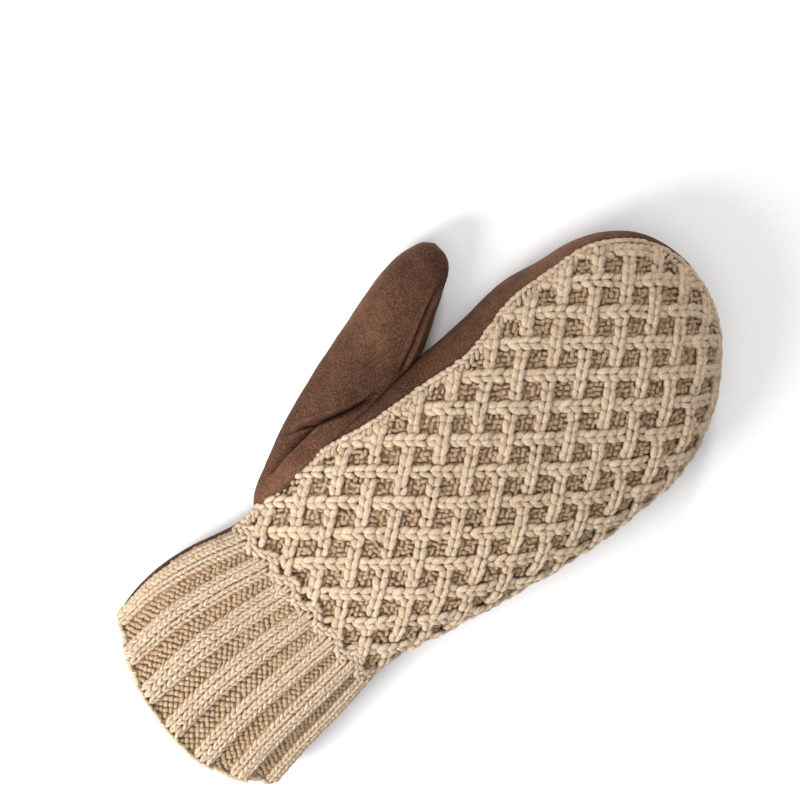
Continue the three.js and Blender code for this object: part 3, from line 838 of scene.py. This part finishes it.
def cuff_frames(share, y, lean, inset):
    step = 0.8
    centre = cuff_points(share, y, inset)
    up = unit(cuff_points(share, y + step, inset) - cuff_points(share, y - step, inset))
    across = unit(cuff_points(share + 0.01, y, inset) - cuff_points(share - 0.01, y, inset))
    normal = unit(np.cross(across, up))
    across = np.cross(up, normal)
    along = up * np.cos(lean)[:, None] + across * np.sin(lean)[:, None]
    return centre, along, normal


RIB_ROWS = 27
RIB_LEAN = math.radians(17)
RIB_LEG = (1.8, 0.82, 1.15)


def rib_face(y):
    """The raised share of the ribs' spacing: the furrows open towards the hem."""
    return 0.72 - 0.19 * np.clip(-y / CUFF_SIDE, 0, 1)


def cuff_stretch(share):
    """How much further apart the rows are in the middle, where the hem bows down."""
    return 1 + HEM_BOW / CUFF_SIDE * (1 - (2 * share - 1) ** 2)


def cuff_width(y):
    """Length across the cuff from seam to seam, over the skin."""
    steps = np.linspace(-CUFF_SIDE, 0, 12)
    total = np.zeros(len(steps))
    for side in (-1, 1):
        spokes = side_spokes(np.full_like(steps, side), steps)
        total += arc_lengths(skin(spokes, spread(knit_seam(spokes), 3.0, ARC_STEPS)))[:, -1]
    return np.interp(y, steps, total)


def make_ribs():
    """Ribs of three columns of knit stitches, each stitch two legs that lean apart."""
    rng = np.random.default_rng(7)
    legs = []
    for rib in range(RIBS):
        for wale in (-1, 0, 1):
            for row in range(-1 if wale == 0 else 0, RIB_ROWS):
                for leg in (-1, 1):
                    legs.append((rib + 0.5, wale + leg * 0.215, row, leg))
    rib, off, row, leg = np.array(legs).T
    y = np.maximum(-CUFF_SIDE * (row + 0.55) / RIB_ROWS, 2.2 - CUFF_SIDE)
    share = (rib + off * rib_face(y) / 3) / RIBS + rng.normal(0, 0.0006, len(y))
    lean = leg * RIB_LEAN + rng.normal(0, 0.09, len(y))
    lean = lean + 0.5 * np.sign(off) * smooth_step((y + 4) / 4) * (np.abs(off) > 0.5)
    inset = 0.5 + 1.2 * (np.abs(off) / 1.24) ** 3 + rng.normal(0, 0.07, len(y))
    centre, along, normal = cuff_frames(share, y, lean, inset)
    along = along - normal * 0.12
    size = np.array(RIB_LEG) * (1 + rng.normal(0, 0.05, (len(y), 3)))
    size[:, 0] *= cuff_stretch(share)
    made = lobes("cuff_ribs", centre, along, normal, size, BIG_LOBE, WOOL_LOOK, 41)
    place_piece(made, "wool_knit", "knit_cuff")


WRIST_CHAIN = 40
WRIST_SCALLOP = 2.0


def make_wrist_chain():
    """A braid of stitches that steps along the ends of the ribs, where the lattice starts."""
    rng = np.random.default_rng(10)
    stitch, leg = (grid.ravel() for grid in np.meshgrid(np.arange(WRIST_CHAIN), (-1, 1), indexing="ij"))
    share = (stitch + 0.5) / WRIST_CHAIN + rng.normal(0, 0.001, len(leg))
    turn = 2 * math.pi * RIBS * share
    y = 2.6 - WRIST_SCALLOP * np.cos(turn) + leg * 1.1 + rng.normal(0, 0.15, len(leg))
    slope = WRIST_SCALLOP * np.sin(turn) * 2 * math.pi * RIBS / cuff_width(0.0)
    lean = math.pi / 2 - np.arctan(slope) - leg * 0.42
    centre, along, normal = cuff_frames(share, y, lean, 0.9 + rng.normal(0, 0.15, len(leg)))
    size = np.array([2.35, 1.1, 1.25]) * (1 + rng.normal(0, 0.06, (len(leg), 3)))
    made = lobes("wrist_chain", centre, along, normal, size, BIG_LOBE, WOOL_LOOK, 44)
    place_piece(made, "wool_knit", "knit_cuff")


PURL_COLUMN = 1.7
PURL_LEG = (1.45, 0.74, 0.95)


def make_furrows():
    """Purl bumps down in the furrows between ribs, in more columns towards the hem."""
    rng = np.random.default_rng(8)
    bumps = []
    for furrow in range(RIBS + 1):
        for column in range(-3, 3):
            for row in range(RIB_ROWS):
                bumps.append((furrow, column + 0.5, row + 0.5 * (column % 2), 1 if column % 2 else -1))
    furrow, column, row, way = np.array(bumps).T
    y = -CUFF_SIDE * (row + 0.3) / RIB_ROWS
    width = cuff_width(y)
    keep = np.abs(column) * PURL_COLUMN < (1 - rib_face(y)) * width / RIBS / 2 + 1.0
    keep &= y > 0.6 - CUFF_SIDE
    keep &= np.abs(furrow / RIBS + column * PURL_COLUMN / width - 0.5) < 0.495
    furrow, column, y, way, width = furrow[keep], column[keep], y[keep], way[keep], width[keep]
    share = furrow / RIBS + column * PURL_COLUMN / width
    y = y + rng.normal(0, 0.12, len(y))
    lean = math.pi / 2 + way * 0.8 + rng.normal(0, 0.15, len(y))
    inset = np.where((furrow == 0) | (furrow == RIBS), 1.8, 3.3) + rng.normal(0, 0.12, len(y))
    lean = np.where(inset < 2.5, way * 0.3, lean)
    centre, along, normal = cuff_frames(share, y, lean, inset)
    size = np.array(PURL_LEG) * (1 + rng.normal(0, 0.1, (len(y), 3)))
    size[inset < 2.5] *= 1.25
    size[:, 1] *= cuff_stretch(share)
    made = lobes("cuff_purls", centre, along, normal, size, SMALL_LOBE, PURL_LOOK, 42)
    place_piece(made, "wool_knit", "knit_cuff")


def make_hem():
    """The cast-on edge: loops laid along the hem."""
    rng = np.random.default_rng(9)
    count = 90
    share = np.linspace(0.004, 0.996, count)
    y = 0.5 - CUFF_SIDE + rng.normal(0, 0.1, count)
    face = np.abs((share * RIBS) % 1 - 0.5) < rib_face(-CUFF_SIDE) / 2
    lean = math.pi / 2 + rng.normal(0, 0.07, count)
    centre, along, normal = cuff_frames(share, y, lean, np.where(face, 1.3, 2.8))
    size = np.array([2.0, 0.95, 1.25]) * (1 + rng.normal(0, 0.05, (count, 3)))
    made = lobes("cuff_hem", centre, along, normal, size, BIG_LOBE, WOOL_LOOK, 43)
    place_piece(made, "wool_knit", "knit_cuff")


def make_cuff_ground():
    rows, columns = 40, 224
    share = np.tile(np.linspace(0, 1, columns), rows)  # from the thumb side's seam to the other
    y = np.repeat(np.linspace(-CUFF_SIDE, 0, rows), columns)
    in_rib = np.abs((share * RIBS) % 1 - 0.5)
    groove = smooth_step((in_rib - rib_face(y) / 2 + 0.05) / 0.07)
    ends = (share > 0.5 / RIBS) & (share < 1 - 0.5 / RIBS)
    outer = cuff_points(share, y, 2.0 + 1.6 * groove * ends).reshape(rows, columns, 3)
    inner = cuff_points(share, y, np.full_like(share, KNIT)).reshape(rows, columns, 3)
    made = sheet("cuff_ground", outer[::-1], inner[::-1], GROUND_LOOK)
    place_piece(made, "wool_knit", "knit_cuff")


# Leather panels

FOLD_DEPTH = 4.6


def gather_folds(spokes, q, points):
    """The puckers over the wrist elastic, strongest on the elastic's line."""
    left = section(2, spokes.y)[:, None]
    right = section(3, spokes.y)[:, None]
    side = spokes.side[:, None]
    across = (left + side * np.minimum(q, 1) * np.where(side < 0, left, right)) / (left + right)
    wander = 0.12 * waves(points, 30.0, 3)
    wave = np.abs(np.cos(math.pi * (GATHERS * across + wander + 0.06 * waves(points, 9.0, 4))))
    fade = smooth_step(1 - np.abs(spokes.y[:, None] - ELASTIC_UP) / GATHER_REACH)
    edge = smooth_step((1.9 - q) / 0.5)
    return FOLD_DEPTH * (1 - wave**1.3) * fade * edge


def seam_roll(edges, depth, reach):
    """Both panels turn down into their seam."""
    return depth * np.exp(-((edges / reach) ** 1.6))


def leather_inset(points, edges, seed):
    """Unevenness of a leather panel: its seams turn in, and the hide is never quite flat."""
    return seam_roll(edges, 1.0, 1.5) + 0.28 * waves(points, 34.0, seed) + 0.1 * waves(points, 11.0, seed + 1)


def rest_on_floor(outer, inner):
    """Nothing of the leather goes below the floor, and the leather keeps its thickness there."""
    outer[..., 2] = np.maximum(outer[..., 2], 0.05)
    inner[..., 2] = np.maximum(inner[..., 2], LEATHER)


def edge_distance(points):
    walked = arc_lengths(points)
    return walked, walked[:, -1:] - walked


def inside_thumb(points, inset):
    """Whether points lie inside the thumb's hollow."""
    rel = points[..., :2] - np.array(THUMB_ROOT)
    along = -rel[..., 0] * math.sin(THUMB_SPLAY) + rel[..., 1] * math.cos(THUMB_SPLAY)
    across = rel[..., 0] * math.cos(THUMB_SPLAY) + rel[..., 1] * math.sin(THUMB_SPLAY)
    at = np.clip(along / THUMB_LENGTH, -0.14, 1)
    spokes = thumb_spokes(np.ones_like(at), at)
    half = np.maximum(spokes.length - inset, 0.1)
    low, high = spokes.lift + inset, spokes.top - inset
    middle, tall = (low + high) / 2, np.maximum((high - low) / 2, 0.1)
    inside = (np.abs(across) / half) ** 2.2 + (np.abs(points[..., 2] - middle) / tall) ** 2.2 < 1
    return inside & (along / THUMB_LENGTH > -0.14) & (along / THUMB_LENGTH < 1)


def make_palm():
    spokes = round_spokes(1.5 - CUFF_SIDE, 150, 90, (STRIP_FOOT - 0.5, STRIP_FOOT - 0.15))
    open_share = smooth_step((spokes.y - STRIP_FOOT + 0.45) / 0.25)
    edge = knit_seam(spokes) * (1 - open_share) + palm_seam(spokes) * open_share
    split = np.minimum(edge, 1.0)
    flat = spread(np.zeros_like(edge), split, 56)
    bend = spread(split, edge, 14)[:, 1:]
    q = np.concatenate([flat, bend], -1)
    plain = skin(spokes, q)
    edges = edge_distance(plain)[1]
    inset = leather_inset(plain, edges, 51)
    resting = smooth_step((1.0 - q) / 0.25) * (1 - smooth_step(1 - np.abs(spokes.y[:, None] - ELASTIC_UP) / 30))
    inset = inset * (1 - resting) + np.maximum(0.22 + 0.2 * waves(plain, 24.0, 57), 0) * resting
    outer = skin(spokes, q, inset)
    inner = skin(spokes, q, inset + LEATHER)
    folds = gather_folds(spokes, q, plain)
    outer[..., 2] += folds
    inner[..., 2] += folds
    rest_on_floor(outer, inner)
    keep = ~inside_thumb(plain, 3.0)
    # Painted shade along the palm's seams
    painted_shade = 0.6 * np.exp(-((edges / 0.7) ** 2))
    made = sheet("palm_leather", outer, inner, LEATHER_LOOK, ("last", "start", "end"), keep, painted_shade)
    place_piece(made, "leather", "palm_panel")


def make_strip(name, replaced, side):
    ys = np.linspace(STRIP_FOOT, TIP_CENTRE, 110)
    if side < 0:
        spokes = joined(side_spokes(-1, ys), tip_spokes(np.linspace(180, STRIP_JOIN, 50)[1:]))
    else:
        spokes = joined(tip_spokes(np.linspace(STRIP_JOIN, 0, 50)[:-1]), side_spokes(1, ys[::-1]))
    q = spread(palm_seam(spokes), knit_seam(spokes), 40)
    plain = skin(spokes, q)
    low, high = edge_distance(plain)
    inset = leather_inset(plain, np.minimum(low, high), 61 + side)
    walked = arc_lengths(np.swapaxes(plain[:, 20:21], 0, 1))[0]
    to_join = (walked[-1] - walked if side < 0 else walked)[:, None]
    inset += seam_roll(to_join, 0.9, 1.3)
    if side < 0:
        for line in THUMB_CREASES:
            inset += crease(plain, line, 3.4, 0.85)
    outer = skin(spokes, q, inset)
    inner = skin(spokes, q, inset + LEATHER)
    rest_on_floor(outer, inner)
    keep = ~inside_thumb(plain, 3.0)
    # Painted shade along the strip's seams and, on the thumb side, in its creases
    painted_shade = 0.6 * np.exp(-((np.minimum(np.minimum(low, high), to_join) / 0.7) ** 2))
    if side < 0:
        for line in THUMB_CREASES:
            painted_shade = np.maximum(painted_shade, 0.8 * crease_shade(plain, line, 0.55))
    made = sheet(name, outer, inner, LEATHER_LOOK, keep=keep, painted_shade=painted_shade)
    place_piece(made, "leather", replaced)


def inside_hand(points):
    """Whether points of the thumb lie inside the hand's skin."""
    x, y, z = points[..., 0], points[..., 1], points[..., 2]
    spokes = side_spokes(np.where(x < 0, -1, 1), np.clip(y, -CUFF_SIDE, TIP_CENTRE))
    flat, widest, crown = HAND_CUT
    out = np.abs(x) / spokes.length
    belly = spokes.lift + (spokes.top - spokes.lift) * widest
    turn = np.sqrt(np.clip(1 - (np.clip(out - flat, 0, None) / (1 - flat)) ** 2, 0, 1))
    low = belly - (belly - spokes.lift) * turn
    high = belly + (spokes.top - belly) * np.clip(1 - out**crown, 0, 1) ** (1 / crown)
    return (out < 1) & (z > low) & (z < high)


THUMB_GROOVE = ((-69.1, 122.9), (-66.1, 114.3), (-56.0, 94.3), (-52.3, 87.7))
THUMB_CREASES = (
    ((-52.8, 76.8), (-55.4, 65.2), (-61.5, 47.2), (-63.3, 38.4)),
    ((-59.5, 52.9), (-59.2, 42.9), (-58.0, 33.3), (-55.1, 22.7)),
)


def along_line(points, line):
    """Distance of each point from a line of corners seen from above, and how far along it, from 0 to 1."""
    corners = np.array(line)
    lengths = np.linalg.norm(np.diff(corners, axis=0), axis=1)
    starts = np.concatenate([[0], np.cumsum(lengths)])
    nearest = np.full(points.shape[:-1], 1e9)
    along = np.zeros(points.shape[:-1])
    for k in range(len(lengths)):
        step = corners[k + 1] - corners[k]
        t = np.clip(((points[..., :2] - corners[k]) @ step) / lengths[k] ** 2, 0, 1)
        gap = np.linalg.norm(points[..., :2] - corners[k] - t[..., None] * step, axis=-1)
        closer = gap < nearest
        nearest = np.where(closer, gap, nearest)
        along = np.where(closer, (starts[k] + t * lengths[k]) / starts[-1], along)
    return nearest, along


def crease(points, line, depth, width, above=12.0):
    """A groove pressed into the upper side along a line, fading out at both ends."""
    gap, along = along_line(points, line)
    fade = smooth_step(along / 0.12) * smooth_step((1 - along) / 0.25)
    lip = 0.3 * np.exp(-(((gap - 2.4 * width) / (1.3 * width)) ** 2))
    return depth * (np.exp(-((gap / width) ** 2)) - lip) * fade * smooth_step((points[..., 2] - above) / 3)


def crease_shade(points, line, width, above=12.0):
    """How much painted shade lies in the bottom of a crease, from 0 to 1."""
    gap, along = along_line(points, line)
    fade = smooth_step(along / 0.15) * smooth_step((1 - along) / 0.3)
    return np.exp(-((gap / width) ** 2)) * fade * smooth_step((points[..., 2] - above) / 3)


def make_thumb():
    """The thumb's skin, whose first row lies on the hand where the set-in seam runs."""
    columns = 220
    q_half = np.linspace(0, 3, columns // 2 + 1)
    sides = np.concatenate([np.full(columns // 2 + 1, -1.0), np.full(columns // 2 - 1, 1.0)])
    q = np.concatenate([q_half, q_half[::-1][1:-1]])
    tries = np.linspace(1, -0.14, 400)
    found = np.full(len(q), -0.14)
    open_still = np.ones(len(q), bool)
    for at in tries:
        spokes = thumb_spokes(sides, np.full(len(q), at))
        point = skin(spokes, q[:, None])[:, 0]
        entered = inside_hand(point) & open_still
        found[entered] = at
        open_still &= ~entered
    rows = 190
    share = np.linspace(0, 1, rows)
    at = found[:, None] - 0.012 + (1 - found[:, None] + 0.012) * share[None]
    spokes = thumb_spokes(np.broadcast_to(sides[:, None], at.shape), at)
    qs = np.broadcast_to(q[:, None], at.shape)
    plain = skin(spokes, qs[..., None])[..., 0, :]
    from_seam = arc_lengths(plain)
    inset = 0.3 * waves(plain, 30.0, 71) + 0.12 * waves(plain, 10.0, 72)
    inset += seam_roll(np.maximum(from_seam - 1.2, 0), 1.1, 1.8)
    inset += crease(plain, THUMB_GROOVE, 2.8, 0.7)
    for line in THUMB_CREASES:
        inset += crease(plain, line, 3.6, 0.85)
    # Painted shade along the thumb's seam, in its creases and in its groove
    painted_shade = 0.75 * np.exp(-((from_seam / 1.1) ** 2))
    for line in THUMB_CREASES:
        painted_shade = np.maximum(painted_shade, 0.8 * crease_shade(plain, line, 0.55))
    painted_shade = np.maximum(painted_shade, 0.75 * crease_shade(plain, THUMB_GROOVE, 0.5))
    inset = inset * smooth_step((1.0 - at) / 0.05)
    resting = (qs < 1) & (at > 0.3)
    inset = np.where(resting, np.maximum(inset, 0.05), inset)
    outer = skin(spokes, qs[..., None], inset[..., None])[..., 0, :]
    at_inside = found[:, None] + (at - found[:, None]) * 0.975
    inside = thumb_spokes(np.broadcast_to(sides[:, None], at.shape), at_inside)
    inner = skin(inside, qs[..., None], inset[..., None] + LEATHER)[..., 0, :]
    inner[:, -1] = inner[:, -1].mean(0)
    rest_on_floor(outer, inner)
    outer = np.concatenate([outer, outer[:1]])
    inner = np.concatenate([inner, inner[:1]])
    painted_shade = np.concatenate([painted_shade, painted_shade[:1]])[::-1]
    made = sheet("thumb_leather", outer[::-1], inner[::-1], LEATHER_LOOK, ("first",), painted_shade=painted_shade)
    place_piece(made, "leather", "thumb")


def make_elastic_stitches():
    """Zigzag stitching over the wrist elastic, on the palm side."""
    centres, ways = [], []
    for line, y0 in enumerate((ELASTIC_UP - 5.0, ELASTIC_UP + 0.5, ELASTIC_UP + 6.0)):
        for side in (-1, 1):
            for k in range(22):
                q = 0.02 + 0.96 * k / 22
                zig = 1.3 if (k + line) % 2 else -1.3
                spokes = side_spokes(np.array([side]), np.array([y0 + zig * 0.25]))
                point = skin(spokes, np.array([[q]]))[0]
                point[:, 2] += gather_folds(spokes, np.array([[q]]), point[None])[0]
                centres.append(point[0] - np.array([0, 0, 0.15]))
                ways.append((1.0, zig * 0.8, 0.0))
    centres, ways = np.array(centres), np.array(ways)
    normals = np.tile([0.0, 0.0, -1.0], (len(centres), 1))
    sizes = np.tile([1.15, 0.3, 0.28], (len(centres), 1))
    made = lobes("elastic_stitches", centres, ways, normals, sizes, SMALL_LOBE, THREAD_LOOK, 81)
    place_piece(made, "leather")


make_palm()
make_strip("thumb_side_strip", "side_strip_thumb", -1)
make_strip("outer_side_strip", "side_strip_outer", 1)
make_thumb()
make_elastic_stitches()
make_knit_ground()
make_strands("knit_bars_left", True)
make_strands("knit_bars_right", False)
make_purls()
make_knit_edge()
make_cuff_ground()
make_ribs()
make_furrows()
make_wrist_chain()
make_hem()


# Floor, light and camera

def make_floor():
    size = 3.0
    mesh = bpy.data.meshes.new("floor")
    corners = [(-size, -size, 0), (size, -size, 0), (size, size, 0), (-size, size, 0)]
    mesh.from_pydata(corners, [], [(0, 1, 2, 3)])
    mesh.materials.append(floor_material())
    floor = bpy.data.objects.new("floor", mesh)
    bpy.context.collection.objects.link(floor)


def area_light(name, where, target, size, power):
    data = bpy.data.lights.new(name, "AREA")
    data.shape = "DISK"
    data.size = size
    data.energy = power
    light = bpy.data.objects.new(name, data)
    light.location = where
    light.rotation_euler = (Vector(target) - Vector(where)).to_track_quat("-Z", "Y").to_euler()
    bpy.context.collection.objects.link(light)


# The camera looks down on the hand's back, tilted a little to the thumb side, and is rolled so that the hand
# points up and to the right. One pixel of the 800 pixel picture is VIEW_SCALE at the mitten.
TILT = math.radians(12)
ROLL = math.radians(40)
VIEW_SCALE = 0.3913 * MM
VIEW_TARGET = (-44.6, 82.2, 20.0)
CAMERA_DISTANCE = 1.5
PICTURE = 800
SENSOR = 36.0

across = Vector((math.cos(TILT), 0, math.sin(TILT)))
along_hand = Vector((0, 1, 0))
right = along_hand * math.cos(ROLL) + across * math.sin(ROLL)
up = along_hand * math.sin(ROLL) - across * math.cos(ROLL)
towards = right.cross(up)


def in_picture(x, y, z):
    """A light's place given along the picture's right, its up and towards the camera."""
    return right * x + up * y + towards * z


def make_camera():
    data = bpy.data.cameras.new("camera")
    data.sensor_width = SENSOR
    data.lens = SENSOR * CAMERA_DISTANCE / (VIEW_SCALE * PICTURE)
    camera = bpy.data.objects.new("camera", data)
    target = Vector(to_frame(np.array(VIEW_TARGET)).tolist())
    turn = Matrix((right, up, towards)).transposed().to_4x4()
    camera.matrix_world = Matrix.Translation(target + towards * CAMERA_DISTANCE) @ turn
    bpy.context.collection.objects.link(camera)
    bpy.context.scene.camera = camera


make_floor()
area_light("key", in_picture(0.2, 1.15, 1.15), (0, 0, 0), 0.32, 8.4)
area_light("fill", in_picture(-0.36, -0.26, 0.3), to_frame(np.array([-25, -40, 20])), 0.3, 4.1)
overhead = bpy.data.lights.new("overhead", "SUN")
overhead.energy = 0.85
overhead.angle = math.radians(70)
bpy.context.collection.objects.link(bpy.data.objects.new("overhead", overhead))
world = bpy.data.worlds.new("world")
world.use_nodes = True
world.node_tree.nodes["Background"].inputs["Color"].default_value = (1, 1, 1, 1)
world.node_tree.nodes["Background"].inputs["Strength"].default_value = 0.4
bpy.context.scene.world = world
bpy.context.scene.view_settings.view_transform = "Standard"
make_camera()
